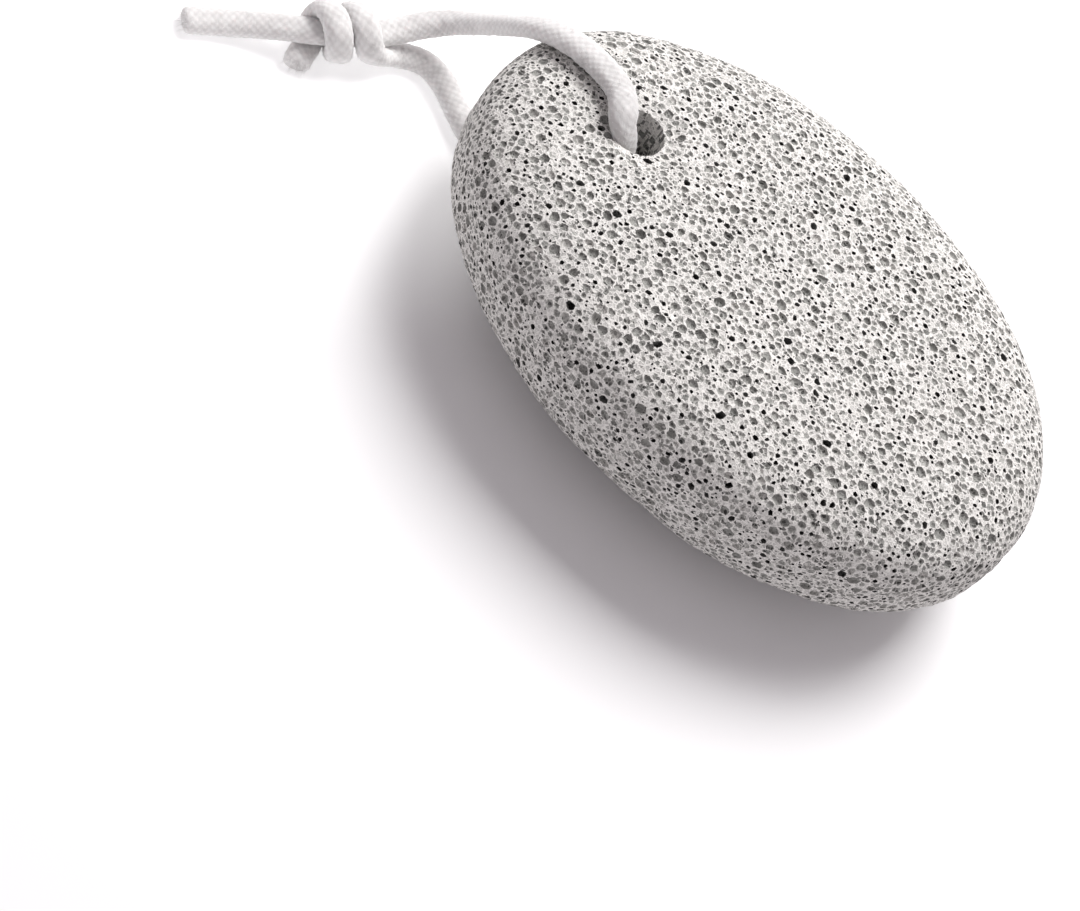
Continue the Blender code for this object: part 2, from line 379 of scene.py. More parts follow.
def mouth_ring(side, dice):
    """The edge of the hole where it meets the skin: side is 1 on top and -1 on the base."""
    ring = []
    for number in range(MOUTH_CORNERS):
        angle = side * math.tau * number / MOUTH_CORNERS
        ragged = noise(Vector((math.cos(angle), math.sin(angle), side)) * MOUTH_RAGGED_TURNS)
        reach = HOLE_RADIUS * (1 + MOUTH_RAGGED * ragged + dice.uniform(*MOUTH_JITTER))
        place = Vector((HOLE_X + reach * math.cos(angle), reach * math.sin(angle), 0))
        # The place moves up or down its own line until it is on the skin.
        place.z = CENTRE_HEIGHT * (1 + MOUTH_START * side)
        for _ in range(MOUTH_STEPS):
            place.z = even_skin(place).z
        ring.append(place)
    return ring


def chart(place):
    """Where a place of the skin lies on a flat map that holds the whole stone but its base point.

    The top is in the middle of the map and the base is turned inside out round it.
    """
    x, y, z, reach = oval_shares(place)
    flat = Vector((x * HALF.x, y * HALF.y)) * reach
    away = max(flat.length, MAP_TINY)
    heading = flat / away
    travelled = away + HALF.z * (1 - abs(z) * reach)
    if z < 0:
        edge = abs(heading.x / HALF.x) ** PLAN_POWER + abs(heading.y / HALF.y) ** PLAN_POWER
        travelled = (edge ** (-1 / PLAN_POWER) + HALF.z) ** 2 / travelled
    return heading * travelled


def map_rims(rims):
    """The rims' corners, each rim's corner numbers, and the flat map's triangles with their owners.

    Rim 0 holds the whole map, so a triangle between the rims belongs to it alone.
    """
    places = []
    loops = []
    for rim in rims:
        loops.append(list(range(len(places), len(places) + len(rim))))
        places += rim
    faces = [loops[0][::-1]] + loops[1:]
    flat = [chart(place) * MAP_SCALE for place in places]
    _, _, triangles, sources, _, owners = delaunay_2d_cdt(flat, [], faces, 0, MAP_MERGE, True)
    numbers = [source[0] if source else -1 for source in sources]
    corners = [[numbers[corner] for corner in triangle] for triangle in triangles]
    return places, loops, list(zip(corners, owners))


def join_skin(pores, rims):
    """The rims' corners, each rim's corner numbers, and the triangles of the skin between them.

    Near the base point the map can make two rims overlap: those pores are left out.
    """
    while True:
        places, loops, owned = map_rims(rims)
        crossed = set()
        for _, owners in owned:
            if len(owners) > 2 or (owners and 0 not in owners):
                crossed.update(owners)
        crossed.discard(0)
        if not crossed:
            return places, loops, [triangle for triangle, owners in owned if owners == [0]]
        for number in sorted(crossed, reverse=True):
            del rims[number]
            del pores[number]


def turned(ring):
    """The ring from its second corner on, with its first one last."""
    return ring[1:] + ring[:1]


def add_band(rock, upper, lower, tone_at):
    """Joins two rings of corners with triangles, two to a side and both in one tone."""
    for a, b, c, d in zip(upper, turned(upper), turned(lower), lower):
        rock.triangles.append((a, b, c))
        rock.triangles.append((a, c, d))
        rock.tones.extend([tone_at(rock.verts[a])] * 2)


def sink_cell(rock, pore, rim, dice):
    """The hollow under a pore's rim, which narrows to one deepest corner, painted darker as shade."""
    verts = rock.verts
    middle = sum((verts[corner] for corner in rim), Vector()) / pore.corners
    inward = -outward_at(pore.place)
    radius = sum((verts[corner] - middle).length for corner in rim) / pore.corners
    depth = radius * dice.uniform(*(DEEP_DEPTH if pore.deep else SHALLOW_DEPTH))
    # Painted shade: the hollow is darker than the skin round it, a deep one nearly black.
    tone = dice.uniform(*(DEEP_SHADE if pore.deep else SHALLOW_SHADE))
    lean = Vector([dice.uniform(-1, 1) for _ in range(3)]) * radius * CELL_LEAN
    if pore.corners >= LEDGE_CORNERS:
        ledge = []
        for corner in rim:
            out = verts[corner] - middle
            sway = lean * LEDGE_DEPTH * dice.uniform(*LEDGE_SWAY)
            ledge.append(len(verts))
            verts.append(middle + out * LEDGE_WIDTH + inward * depth * LEDGE_DEPTH + sway)
        shade = 1 + (tone - 1) * LEDGE_SHADE
        add_band(rock, rim, ledge, lambda place: shade * dice.uniform(*LEDGE_TONE))
        rim = ledge
    bottom = len(verts)
    verts.append(middle + inward * depth + lean)
    for here, there in zip(rim, turned(rim)):
        rock.triangles.append((here, there, bottom))
        rock.tones.append(tone * dice.uniform(*FACET_TONE))


def bore_ring(verts, upper, lower, share):
    """A worn ring of the hole's wall, at its share of the way from the upper mouth to the lower."""
    ring = []
    for start, end in zip(upper, lower):
        point = verts[start].lerp(verts[end], share)
        out = Vector((point.x - HOLE_X, point.y, 0)).normalized()
        ring.append(len(verts))
        verts.append(point + out * bumps(point, BORE_WEAR))
    return ring


def bore_tone(place):
    """The tone of the hole's wall there: pale, with pits painted dark as shade."""
    return 1.0 if bumps(place, BORE_PITS) < BORE_PIT_LEVEL else BORE_PIT_SHADE


def line_bore(rock, upper, lower):
    """The hole's wall between its two mouths."""
    previous = upper
    for row in range(1, BORE_RINGS + 1):
        current = lower
        if row < BORE_RINGS:
            current = bore_ring(rock.verts, upper, lower, row / BORE_RINGS)
        add_band(rock, previous, current, bore_tone)
        previous = current


def build_stone_mesh():
    """The stone's mesh, with a tone for each of its triangles."""
    dice = random.Random(SEED)
    pores = scatter_pores(dice)
    rims = pore_rims(pores, dice)
    rims.append(mouth_ring(1, dice))
    rims.append(mouth_ring(-1, dice))
    places, loops, triangles = join_skin(pores, rims)
    rock = Rock([grained_skin(place) for place in places], triangles, [1.0] * len(triangles))
    for pore, rim in zip(pores, loops):
        sink_cell(rock, pore, rim, dice)
    upper, lower = loops[-2:]
    line_bore(rock, upper, lower[:1] + lower[:0:-1])
    mesh = bpy.data.meshes.new("pumice_body")
    mesh.from_pydata(rock.verts, [], rock.triangles)
    mesh.update()
    layer = mesh.attributes.new("tone", "FLOAT", "FACE")
    layer.data.foreach_set("value", rock.tones)
    mesh.set_sharp_from_angle(angle=math.radians(FACET_ANGLE))
    return mesh


def new_material(name):
    """A new material, its node tree and its shader."""
    material = bpy.data.materials.new(name)
    material.use_nodes = True
    tree = material.node_tree
    return material, tree, tree.nodes["Principled BSDF"]


def feed(tree, node, inputs):
    """Gives the node's inputs their values, or the outputs that they read."""
    for name, value in inputs.items():
        if isinstance(value, bpy.types.NodeSocket):
            tree.links.new(value, node.inputs[name])
        else:
            node.inputs[name].default_value = value


def add_node(tree, kind, inputs, **settings):
    """A new node of that kind with its settings and its inputs."""
    node = tree.nodes.new(kind)
    for name, value in settings.items():
        setattr(node, name, value)
    feed(tree, node, inputs)
    return node


def grey(value):
    """A grey of that value."""
    return (value, value, value, 1)


def ramped(tree, factor, stops):
    """The colour that a ramp with these stops has at factor."""
    node = add_node(tree, "ShaderNodeValToRGB", {"Fac": factor})
    elements = node.color_ramp.elements
    elements[0].position, elements[0].color = stops[0]
    elements[1].position, elements[1].color = stops[-1]
    for position, colour in stops[1:-1]:
        elements.new(position).color = colour
    return node.outputs["Color"]


def mixed(tree, blend, factor, first, second):
    """Two colours, mixed or multiplied."""
    inputs = {"Factor": factor, "A": first, "B": second}
    return add_node(tree, "ShaderNodeMix", inputs, data_type="RGBA", blend_type=blend).outputs["Result"]


def bumped(tree, height, strength, distance):
    """The normal of a surface with that height pattern."""
    inputs = {"Strength": strength, "Distance": distance, "Height": height}
    return add_node(tree, "ShaderNodeBump", inputs).outputs["Normal"]


def object_place(tree):
    """The place on the object."""
    return add_node(tree, "ShaderNodeTexCoord", {}).outputs["Object"]


# The rock's look. Its finest cells and its grit are too small for the mesh: scales are per metre.
# Painted shade: tones below 1 darken the pores' hollows, down to black in the deep ones.
ROCK_TONES = (
    (0.15, (0.020, 0.0195, 0.019, 1)),
    (0.55, (0.33, 0.33, 0.315, 1)),
    (0.85, (0.56, 0.555, 0.53, 1)),
    (1.0, (0.90, 0.88, 0.85, 1)),
)
CELL_SCALE = 1800
# Painted shade: the finest cells' floors are darker than their walls, some nearly black.
CELL_FLOOR_SHADES = (
    (0.07, grey(0.2)),
    (0.25, grey(0.55)),
    (0.75, grey(0.86)),
)
CELL_WALL = (0.10, 0.17)
CELL_DEPTH = -0.8
GRIT_SCALE = 3600
GRIT_RANGE = (0.36, 0.56)
GRIT_TONES = (0.72, 1.0)


def along_flow(tree):
    """The place on the stone with the stretch of the bubbles taken out."""
    node = add_node(tree, "ShaderNodeMapping", {
        "Rotation": (0, 0, -math.atan2(FLOW.y, FLOW.x)),
        "Scale": (1 / FLOW_STRETCH, 1, 1),
        "Vector": object_place(tree),
    })
    return node.outputs["Vector"]


def fine_cells(tree, drawn):
    """How far a spot lies inside one of the finest cells, and the colour there: white on its walls, and
    darker on its floor as painted shade.
    """
    inputs = {"Scale": CELL_SCALE, "Vector": drawn}
    edges = add_node(tree, "ShaderNodeTexVoronoi", inputs, feature="DISTANCE_TO_EDGE")
    inside = add_node(tree, "ShaderNodeMapRange", {
        "From Min": CELL_WALL[0],
        "From Max": CELL_WALL[1],
        "Value": edges.outputs["Distance"],
    }).outputs["Result"]
    kinds = add_node(tree, "ShaderNodeTexVoronoi", inputs)
    kind = add_node(tree, "ShaderNodeSeparateColor", {"Color": kinds.outputs["Color"]})
    floor = ramped(tree, kind.outputs["Red"], CELL_FLOOR_SHADES)
    return inside, mixed(tree, "MIX", inside, grey(1), floor)


def fine_grit(tree, drawn):
    """The grit's height and its tone."""
    inputs = {"Scale": GRIT_SCALE, "Detail": 3, "Roughness": 0.7, "Vector": drawn}
    grit = add_node(tree, "ShaderNodeTexNoise", inputs).outputs["Fac"]
    tone = add_node(tree, "ShaderNodeMapRange", {
        "From Min": GRIT_RANGE[0],
        "From Max": GRIT_RANGE[1],
        "To Min": GRIT_TONES[0],
        "To Max": GRIT_TONES[1],
        "Value": grit,
    }).outputs["Result"]
    return grit, tone


def pumice_material():
    """Dull rock in the tones of its triangles, darker in the pores as painted shade, with the finest
    cells and grit on them.
    """
    material, tree, shader = new_material("pumice_rock")
    drawn = along_flow(tree)
    inside, cells = fine_cells(tree, drawn)
    grit, speckle = fine_grit(tree, drawn)
    tone = add_node(tree, "ShaderNodeAttribute", {}, attribute_name="tone")
    colour = ramped(tree, tone.outputs["Fac"], ROCK_TONES)
    colour = mixed(tree, "MULTIPLY", 1.0, colour, cells)
    colour = mixed(tree, "MULTIPLY", 1.0, colour, speckle)
    inputs = {0: inside, 1: CELL_DEPTH, 2: grit}
    height = add_node(tree, "ShaderNodeMath", inputs, operation="MULTIPLY_ADD")
    feed(tree, shader, {
        "Base Color": colour,
        "Roughness": 0.95,
        "Specular IOR Level": 0.2,
        "Normal": bumped(tree, height.outputs["Value"], strength=0.8, distance=0.00014),
    })
    return material


def add_piece(name, mesh):
    """A new object of the scene with that mesh."""
    piece = bpy.data.objects.new(name, mesh)
    bpy.context.scene.collection.objects.link(piece)
    return piece


def build_stone():
    """The stone, in place of the CAD part's."""
    mesh = build_stone_mesh()
    mesh.materials.append(pumice_material())
    stone = add_piece("stone_pored", mesh)
    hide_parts("stone")
    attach(stone, "root")


# The cord's routes, the same as the CAD part's.
UPPER_ROUTE = (
    (-0.0280, 0.0006, 0.0150),
    (-0.0278, 0.0006, 0.0190),
    (-0.0279, 0.0004, 0.0228),
    (-0.0284, -0.0003, 0.0262),
    (-0.0295, -0.0010, 0.0290),
    (-0.0312, -0.0012, 0.0311),
    (-0.0336, -0.0003, 0.0320),
    (-0.0366, 0.0010, 0.0316),
    (-0.0402, 0.0021, 0.0308),
    (-0.0440, 0.0030, 0.0295),
    (-0.0475, 0.0037, 0.0275),
    (-0.0503, 0.0045, 0.0248),
    (-0.0528, 0.0056, 0.0214),
    (-0.0554, 0.0068, 0.0176),
    (-0.0581, 0.0078, 0.0138),
    (-0.0608, 0.0082, 0.0105),
    (-0.0634, 0.0077, 0.0080),
    (-0.0656, 0.0058, 0.0065),
    (-0.0672, 0.0030, 0.0058),
)
KNOT_START = Vector((-0.0692, -0.0007, 0.0056))
KNOT_HEADING = Vector((-0.617, -0.787, 0.0))
KNOT_LENGTH = 0.0086
KNOT_TURN = 690  # degrees, as the other angles of the knot
KNOT_FIRST_ANGLE = 240
KNOT_LEAD = 0.0035
KNOT_LEAD_TURN = 100
KNOT_MIDDLE = KNOT_START + KNOT_HEADING * KNOT_LENGTH / 2
KNOT_REACH = 0.0085
WRAP_RADIUS = 0.0032
WRAP_POINTS_PER_TURN = 12
UPPER_TAIL = (
    (-0.0776, -0.0100, 0.0048),
    (-0.0802, -0.0122, 0.0036),
    (-0.0829, -0.0145, 0.0025),
    (-0.0855, -0.0170, 0.0019),
    (-0.0880, -0.0199, 0.0018),
    (-0.0892, -0.0215, 0.0018),
)
LOWER_ROUTE = (
    (-0.0280, 0.0006, 0.0147),
    (-0.0277, 0.0005, 0.0115),
    (-0.0278, 0.0004, 0.0086),
    (-0.0287, 0.0002, 0.0058),
    (-0.0306, 0.0000, 0.0035),
    (-0.0334, 0.0000, 0.0020),
    (-0.0368, 0.0000, 0.00173),
    (-0.0405, 0.0000, 0.00173),
    (-0.0445, -0.0002, 0.00173),
    (-0.0485, 0.0003, 0.00173),
    (-0.0516, 0.0012, 0.00173),
    (-0.0546, 0.0026, 0.00173),
    (-0.0575, 0.0038, 0.00173),
    (-0.0602, 0.0044, 0.00173),
    (-0.0627, 0.0042, 0.00173),
    (-0.0648, 0.0029, 0.0018),
)
LOWER_STUB = (
    (-0.0737, -0.0103, 0.0018),
    (-0.0730, -0.0120, 0.0018),
)
CORD_WIDTH = 0.0043
CORD_THICKNESS = 0.0030

# Where the strands leave the hole, and the heights where they stop lying along its wall.
UPPER_EXIT = Vector((HOLE_X, 0, TOP_AT_HOLE - 0.0005))
LOWER_EXIT = Vector((HOLE_X, 0, BASE_AT_HOLE + 0.002))
UPPER_BORE_ENDS = 0.0285
LOWER_BORE_ENDS = 0.005

# How the cord settles. A pair is where a change starts and where it is complete.
KNOT_SHIFT = KNOT_HEADING * 0.0015 + Vector((0, 0, -0.0006))
KNOT_FADES = (0.007, 0.015)  # from the knot's middle
MOUTH_LEAN = Vector((-0.0004, -0.0010, 0))  # the cord leans on the near side of the hole's mouth
SHOULDER_SWAY = Vector((0.0008, 0.0011, 0))  # and bows out over the stone's shoulder
UPPER_HALF = (0.012, 0.020)  # in height
MOUTH_ENDS = (0.029, 0.035)  # the rest are distances in front of the stone's middle
SHOULDER_STARTS = (0.029, 0.036)
SHOULDER_ENDS = (0.038, 0.052)
TOUCH_STARTS = (0.0285, 0.0345)
TOUCH_ENDS = (0.041, 0.050)
LOW_CORD = 0.006
LOW_CORD_DROP = 0.0002
FLOOR_GAP = 0.00006

# How finely a route is followed, how often its line and its twist are smoothed, and which of the
# rings' middles describe the cord.
SAMPLES = 24
LINE_PASSES = 30
TWIST_PASSES = 260

# The braid: its rings, its strands that pass over and under each other, and its cut end.
RING_STEP = 0.00016
RING_CORNERS = 48
RING_ROUNDNESS = 0.86
RING_FLOOR = 0.00002
STRANDS_ROUND = 10
STITCH_LENGTH = 0.0026
STITCH_HEIGHT = 0.00020
STRAND_GAP = 1.9
STRAND_LEVEL = 0.62
CROSSING_LEVEL = 0.38
MEAN_LEVEL = 0.75
YARN_SWELL = 0.00009
SWELL_LENGTH = 0.0016
SWELL_CORNERS = 5
SWELL_ROWS = 3
END_WIDTH = 0.80
END_ROUNDING = 0.20
END_LENGTH = 0.0009
# How much darker the cord is near the hole: fully up to the first distance, not at all past the second.
HOLE_DARKENING = 0.70
HOLE_DARKENING_FADES = (0.016, 0.034)  # along the cord from the middle of the hole

# The loose fibres at the cut end, and the short hairs all over the braid.
FRAY_FIBRES = 60
FRAY_LENGTH = 0.0014
FRAY_LENGTHS = (0.35, 1.0)
FRAY_FILL = 0.94
FRAY_CLEAR = 0.00001
FRAY_SPREAD = 0.9
FRAY_SWAY = 0.3
FIBRE_RADIUS = 0.00004
FIBRE_RINGS = 5
FIBRE_SIDES = 3
FIBRE_ROOT = 1.05
FUZZ_HAIRS = 3200
FUZZ_LENGTH = 0.0006
FUZZ_LENGTHS = (0.25, 0.75)
FUZZ_LEAN = 1.6
FUZZ_RADIUS = 0.000025


def knot_wraps():
    """The turns of the lower strand round the upper one."""
    away = Vector((KNOT_HEADING.y, -KNOT_HEADING.x, 0))
    count = round(KNOT_TURN / 360 * WRAP_POINTS_PER_TURN)
    points = []
    for number in range(count + 1):
        share = number / count
        angle = math.radians(KNOT_FIRST_ANGLE - KNOT_TURN * share)
        side = away * math.cos(angle) + Vector((0, 0, math.sin(angle)))
        lead = KNOT_LEAD * max(0, 1 - KNOT_TURN * share / KNOT_LEAD_TURN) ** 2
        along = KNOT_LENGTH * share - lead
        points.append(KNOT_START + KNOT_HEADING * along + side * WRAP_RADIUS)
    return points


def between(before, start, end, after, share):
    """A point of the smooth curve that passes through start and end."""
    bend = 2 * before - 5 * start + 4 * end - after
    swing = 3 * start - before - 3 * end + after
    return start + 0.5 * (share * (end - before) + share**2 * bend + share**3 * swing)


def smooth_line(route, step):
    """Points a step apart along the smooth curve through a route."""
    ends = [2 * route[0] - route[1]] + route + [2 * route[-1] - route[-2]]
    fine = []
    for number in range(len(route) - 1):
        fine += [between(*ends[number:number + 4], share / SAMPLES) for share in range(SAMPLES)]
    fine.append(route[-1])
    total = sum((b - a).length for a, b in zip(fine, fine[1:]))
    gap = total / max(1, round(total / step))
    line = [fine[0]]
    gone = 0.0
    for a, b in zip(fine, fine[1:]):
        piece = (b - a).length
        while gone + piece >= gap * len(line) and gap * (len(line) + 0.5) < total:
            line.append(a.lerp(b, (gap * len(line) - gone) / piece))
        gone += piece
    line.append(fine[-1])
    return line


def eased(value, start, end):
    """A smooth rise from 0 at start to 1 at end."""
    share = min(1.0, max(0.0, (value - start) / (end - start)))
    return share * share * (3 - 2 * share)


def settled(point):
    """The cord's point let down until it touches the stone or what the stone lies on."""
    in_knot = 1 - eased((point - KNOT_MIDDLE).length, *KNOT_FADES)
    point = point + KNOT_SHIFT * in_knot
    high = eased(point.z, *UPPER_HALF)
    on_shoulder = eased(-point.x, *SHOULDER_STARTS) * (1 - eased(-point.x, *SHOULDER_ENDS)) * high
    in_mouth = high * (1 - eased(-point.x, *MOUTH_ENDS))
    point = point + MOUTH_LEAN * in_mouth + SHOULDER_SWAY * on_shoulder
    if point.z > UPPER_HALF[0]:
        outward = outward_at(point)
        gap = (point - on_stone(point)).dot(outward)
        hold = eased(-point.x, *TOUCH_STARTS) * (1 - eased(-point.x, *TOUCH_ENDS))
        point = point + outward * (CORD_THICKNESS / 2 - gap) * hold
    if point.z < LOW_CORD:
        point.z = max(point.z - LOW_CORD_DROP, CORD_THICKNESS / 2 + FLOOR_GAP)
    return point


def settled_line(route):
    """The cord's middle line: the route, settled and then smoothed."""
    line = [settled(point) for point in smooth_line(route, RING_STEP)]
    for _ in range(LINE_PASSES):
        inner = [(a + b * 2 + c) / 4 for a, b, c in zip(line, line[1:], line[2:])]
        line = [line[0]] + inner + [line[-1]]
    return line


def upper_hint(point):
    """The way that the upper strand's flat side faces."""
    if point.z < UPPER_BORE_ENDS and abs(point.x - HOLE_X) < HOLE_RADIUS:
        return Vector((1, 0, 0))
    return Vector((0, 0, 1))


def lower_hint(point):
    """The way that the lower strand's flat side faces."""
    if point.z > LOWER_BORE_ENDS and abs(point.x - HOLE_X) < HOLE_RADIUS:
        return Vector((1, 0, 0))
    if (point - KNOT_MIDDLE).length < KNOT_REACH:
        out = point - KNOT_START
        return (out - KNOT_HEADING * out.dot(KNOT_HEADING)).normalized()
    return Vector((0, 0, -1))


def directions(line, hint_of):
    """At each point of the line the way along the cord, across its flat side and out of it."""
    tangents = np.gradient(np.array(line), axis=0)
    tangents /= np.linalg.norm(tangents, axis=1)[:, None]
    hints = np.array([hint_of(point) for point in line])
    for _ in range(TWIST_PASSES):
        hints[1:-1] = (hints[:-2] + 2 * hints[1:-1] + hints[2:]) / 4
    thin = hints - tangents * (hints * tangents).sum(1)[:, None]
    thin /= np.linalg.norm(thin, axis=1)[:, None]
    return tangents, np.cross(tangents, thin), thin


def strand_back(phase):
    """The height of strands a phase of 1 apart: round backs with gaps between them."""
    off = phase - np.round(phase)
    return np.sqrt(np.clip(1 - (STRAND_GAP * off) ** 2, 0, 1))


def yarn_swell(gone, seed):
    """How the yarn swells and shrinks at each corner of each ring."""
    swell = np.array([
        [noise(Vector((distance / SWELL_LENGTH, corner / SWELL_CORNERS, seed)))
         for corner in range(RING_CORNERS)]
        for distance in gone[::SWELL_ROWS]
    ])
    return np.repeat(swell, SWELL_ROWS, axis=0)[:len(gone)] * YARN_SWELL


def braid_relief(gone, angle, seed):
    """How far the braid stands out: strands that wind both ways, over and under each other."""
    round_cord = (STRANDS_ROUND * angle / math.tau)[None, :]
    along_cord = gone[:, None] / STITCH_LENGTH * 2
    one = round_cord + along_cord
    two = round_cord - along_cord
    over = np.cos(math.pi * one) * np.cos(math.pi * two)
    one_level = strand_back(one) * (STRAND_LEVEL + CROSSING_LEVEL * over)
    two_level = strand_back(two) * (STRAND_LEVEL - CROSSING_LEVEL * over)
    relief = (np.maximum(one_level, two_level) - MEAN_LEVEL) * STITCH_HEIGHT
    return relief + yarn_swell(gone, seed)


def end_taper(to_end):
    """The cord's share of its full width, which rounds off towards its cut end."""
    near_end = 1 - np.clip(to_end / END_LENGTH, 0, 1)
    return END_WIDTH + END_ROUNDING * np.sqrt(np.clip(1 - near_end ** 2, 0, 1))


def squared(value):
    """A cosine or sine made fuller, so that the ring is a little squarer than an oval."""
    return np.sign(value) * np.abs(value) ** RING_ROUNDNESS


def braid_rings(points, wide, thin, angle, taper, relief):
    """The corners of all the braid's rings."""
    half_wide = (CORD_WIDTH / 2 * taper)[:, None] + relief * taper[:, None]
    half_thin = (CORD_THICKNESS / 2 * taper)[:, None] + relief * taper[:, None]
    cos = squared(np.cos(angle))
    sin = squared(np.sin(angle))
    rings = (points[:, None, :] + wide[:, None, :] * (half_wide * cos[None, :])[:, :, None]
             + thin[:, None, :] * (half_thin * sin[None, :])[:, :, None])
    rings[:, :, 2] = np.maximum(rings[:, :, 2], RING_FLOOR)
    return rings


def tube_faces(first, rings, sides):
    """The faces of a tube whose corners are numbered on from first, without its ends."""
    faces = []
    for row in range(rings - 1):
        for corner in range(sides):
            a = first + row * sides + corner
            b = first + row * sides + (corner + 1) % sides
            faces.append((a, b, b + sides, a + sides))
    return faces


def fray(verts, faces, end, along, wide, thin, dice):
    """Loose fibres that stand out of the cord's cut end."""
    for _ in range(FRAY_FIBRES):
        angle = dice.uniform(0, math.tau)
        off = math.sqrt(dice.random()) * FRAY_FILL
        across = wide * CORD_WIDTH * math.cos(angle) + thin * CORD_THICKNESS * math.sin(angle)
        root = end + across * off / 2
        root = root + along * FRAY_CLEAR
        length = FRAY_LENGTH * dice.uniform(*FRAY_LENGTHS)
        lean = (wide * math.cos(angle) + thin * math.sin(angle)) * dice.uniform(0.0, FRAY_SPREAD)
        lean = lean + thin * dice.uniform(-FRAY_SWAY, FRAY_SWAY)
        lean = lean + wide * dice.uniform(-FRAY_SWAY, FRAY_SWAY)
        first = len(verts)
        for step in range(FIBRE_RINGS):
            share = step / (FIBRE_RINGS - 1)
            middle = root + along * length * share + lean * length * share**2
            middle[2] = max(middle[2], FIBRE_RADIUS)
            for corner in range(FIBRE_SIDES):
                turn = math.tau * corner / FIBRE_SIDES
                side = wide * math.cos(turn) + thin * math.sin(turn)
                verts.append((middle + side * FIBRE_RADIUS * (FIBRE_ROOT - share)).tolist())
        faces += tube_faces(first, FIBRE_RINGS, FIBRE_SIDES)
        faces.append((first + 2, first + 1, first))
        faces.append((len(verts) - 3, len(verts) - 2, len(verts) - 1))


def fuzz(verts, faces, rings, dice):
    """Short loose hairs that stand out all over the braid."""
    rows = len(rings)
    for _ in range(FUZZ_HAIRS):
        row = dice.randrange(1, rows - 1)
        corner = dice.randrange(RING_CORNERS)
        root = rings[row, corner]
        out = root - rings[row, (corner + RING_CORNERS // 2) % RING_CORNERS]
        out = out / np.linalg.norm(out)
        along = rings[row + 1, corner] - rings[row - 1, corner]
        along = along / np.linalg.norm(along)
        across = np.cross(out, along)
        lean = along * dice.uniform(-FUZZ_LEAN, FUZZ_LEAN) + across * dice.uniform(-FUZZ_LEAN, FUZZ_LEAN)
        tip = root + (out + lean) * FUZZ_LENGTH * dice.uniform(*FUZZ_LENGTHS)
        tip[2] = max(tip[2], 0.0)
        first = len(verts)
        for turn in (0, math.tau / 3, 2 * math.tau / 3):
            foot = root + (along * math.cos(turn) + across * math.sin(turn)) * FUZZ_RADIUS
            foot[2] = max(foot[2], 0.0)
            verts.append(foot.tolist())
        verts.append(tip.tolist())
        faces += [(first, first + 2, first + 1), (first, first + 1, first + 3),
                  (first + 1, first + 2, first + 3), (first + 2, first, first + 3)]


def add_relief_layer(mesh, relief, gone):
    """The braid's relief for its look, darker in the grooves as painted shade and darker near the hole.
    Loose hairs go without.
    """
    near_hole = np.array([1 - eased(distance, *HOLE_DARKENING_FADES) for distance in gone])
    shade = np.zeros(len(mesh.vertices), np.float32)
    shade[:relief.size] = (relief / STITCH_HEIGHT + MEAN_LEVEL - HOLE_DARKENING * near_hole[:, None]).reshape(-1)
    layer = mesh.attributes.new("relief", "FLOAT", "POINT")
    layer.data.foreach_set("value", shade)


def turn_faces_outward(mesh):
    """Makes all the mesh's faces point out."""
    bm = bmesh.new()
    bm.from_mesh(mesh)
    bmesh.ops.recalc_face_normals(bm, faces=bm.faces[:])
    bm.to_mesh(mesh)
    bm.free()


def cord_mesh(name, line, hint_of, seed):
    """The braid and its loose hairs along a line. The hairs have the mesh's second material."""
    points = np.array(line)
    tangents, wide, thin = directions(line, hint_of)
    steps = np.linalg.norm(np.diff(points, axis=0), axis=1)
    gone = np.concatenate([[0], np.cumsum(steps)])
    angle = np.arange(RING_CORNERS) * math.tau / RING_CORNERS
    relief = braid_relief(gone, angle, seed)
    rings = braid_rings(points, wide, thin, angle, end_taper(gone[-1] - gone), relief)
    verts = rings.reshape(-1, 3).tolist()
    last_ring = len(verts) - RING_CORNERS
    faces = tube_faces(0, len(points), RING_CORNERS)
    woven = len(faces)
    dice = random.Random(seed)
    fray(verts, faces, points[-1], tangents[-1], wide[-1], thin[-1], dice)
    fuzz(verts, faces, rings, dice)
    loose = len(faces) - woven
    faces.append(tuple(range(RING_CORNERS))[::-1])
    faces.append(tuple(range(last_ring, last_ring + RING_CORNERS)))
    mesh = bpy.data.meshes.new(name)
    mesh.from_pydata(verts, [], faces)
    mesh.update()
    mesh.shade_smooth()
    mesh.polygons.foreach_set("material_index", [0] * woven + [1] * loose + [0, 0])
    add_relief_layer(mesh, relief, gone)
    turn_faces_outward(mesh)
    return mesh


# The cord's look: off-white braid, painted darker in its grooves as shade and darker near the hole, and
# whiter loose hairs. Scales are per metre.
# Painted shade: low tones darken the braid's grooves between the strands' backs.
BRAID_TONES = (
    (0.0, (0.62, 0.61, 0.605, 1)),
    (1.0, (0.81, 0.80, 0.795, 1)),
)
YARN_SCALE = 5200
FIBRE_TONES = (
    (0.3, (0.84, 0.83, 0.825, 1)),
    (0.7, (0.95, 0.94, 0.935, 1)),
)
FIBRE_TINT_SCALE = 900


def fibre_material():
    """The loose hairs: too thin for light to spread inside them."""
    material, tree, shader = new_material("fibre_cotton")
    inputs = {"Scale": FIBRE_TINT_SCALE, "Vector": object_place(tree)}
    tint = add_node(tree, "ShaderNodeTexNoise", inputs)
    feed(tree, shader, {
        "Base Color": ramped(tree, tint.outputs["Fac"], FIBRE_TONES),
        "Roughness": 0.9,
        "Sheen Weight": 0.4,
    })
    return material


